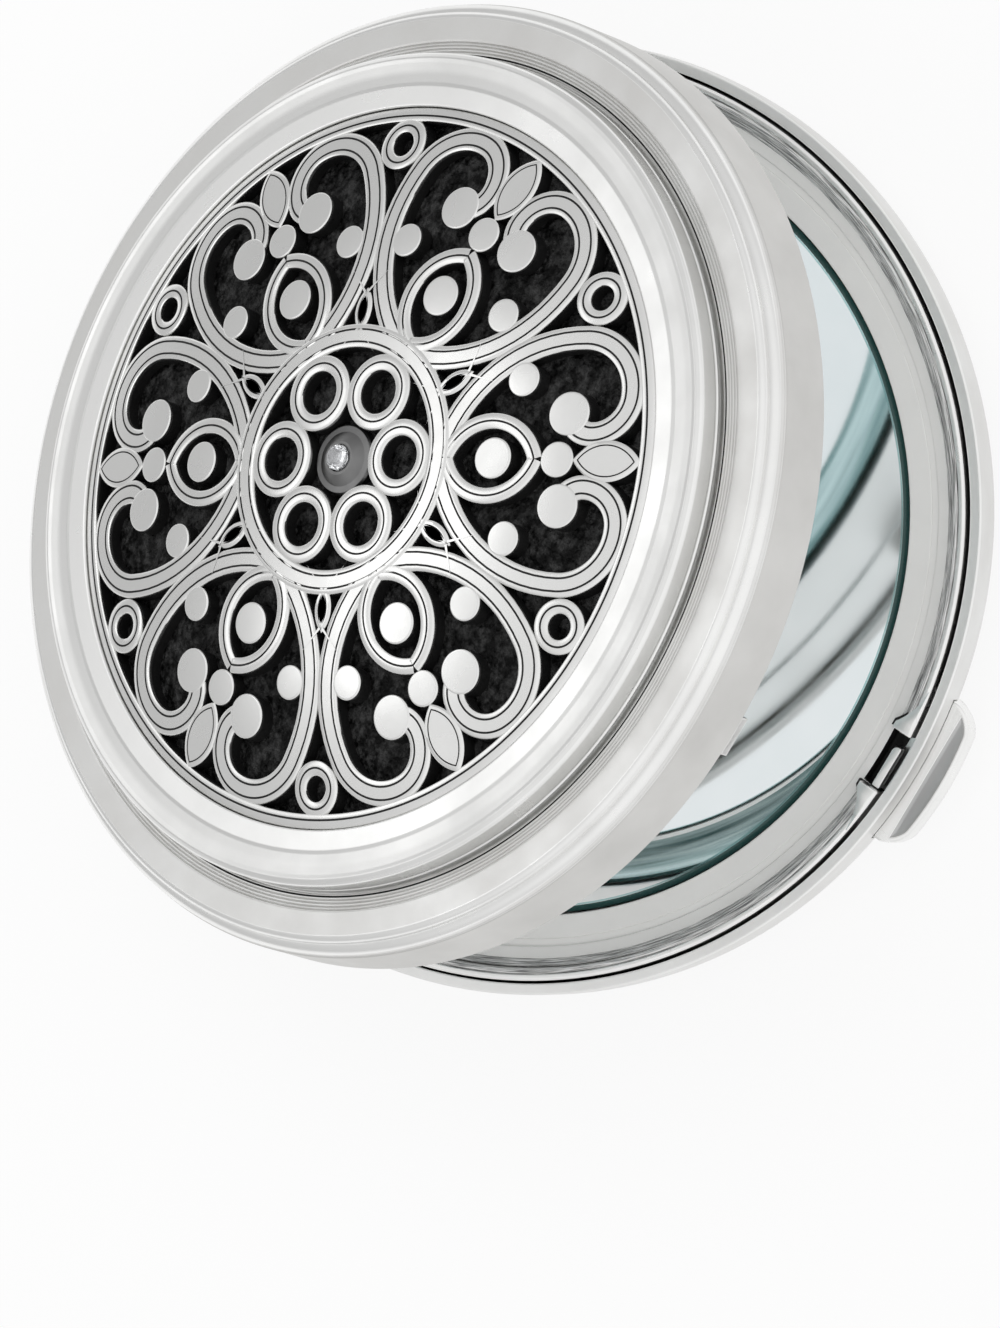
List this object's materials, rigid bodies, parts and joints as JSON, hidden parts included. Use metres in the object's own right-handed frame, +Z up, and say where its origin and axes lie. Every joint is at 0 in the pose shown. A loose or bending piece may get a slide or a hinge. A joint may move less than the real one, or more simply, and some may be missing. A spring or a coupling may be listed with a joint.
{
  "type": "compact mirror",
  "caption": "Round silver compact mirror with a hinged lid, mirrors in base and lid, an openwork scroll medallion over a black dome and a push-tab catch.",
  "frame": {"origin": "centre of the pan's flat underside", "axes": "+Z up through the pan, -Y towards the thumb tab, +Y towards the hinge"},
  "size_m": [0.07, 0.0746, 0.0367],
  "materials": {
    "satin_silver": "satin silver plate",
    "polished_silver": "polished silver plate",
    "dark_silver": "darkened silver",
    "spring_steel": "plain",
    "mirror_glass": "silvered glass",
    "black_ground": "grained black",
    "foam": "adhesive foam",
    "crystal": "cut crystal"
  },
  "bodies": {
    "base": {"base_pan": "satin_silver", "base_collar": "polished_silver", "base_tray": "satin_silver", "base_mirror": "mirror_glass", "base_mirror_pad": "foam", "base_knuckle_right": "polished_silver", "base_knuckle_left": "polished_silver", "hinge_pin": "spring_steel", "latch_spring": "spring_steel"},
    "lid": {"lid_shell": "satin_silver", "lid_tray": "satin_silver", "bezel_ring": "polished_silver", "medallion_scrollwork": "polished_silver", "catch_hook": "polished_silver", "lid_knuckle": "polished_silver", "lid_mirror": "mirror_glass", "lid_mirror_pad": "foam", "medallion_ground": "black_ground", "stone_setting": "dark_silver", "centre_stone": "crystal"},
    "latch": {"latch_button": "polished_silver"}
  },
  "joints": [
    {"name": "lid_hinge", "type": "hinge", "parent": "base", "child": "lid", "pos_m": [0, 0.0363, 0.005], "axis": [-1, 0, 0], "range_deg": [-19.6, 100.4]},
    {"name": "latch_press", "type": "slide", "parent": "base", "child": "latch", "axis": [0, 1, 0], "range_m": [0, 0.00065], "stiffness_N_per_m": 2000, "springref_m": -0.001, "deforming": ["latch_spring"]}
  ]
}
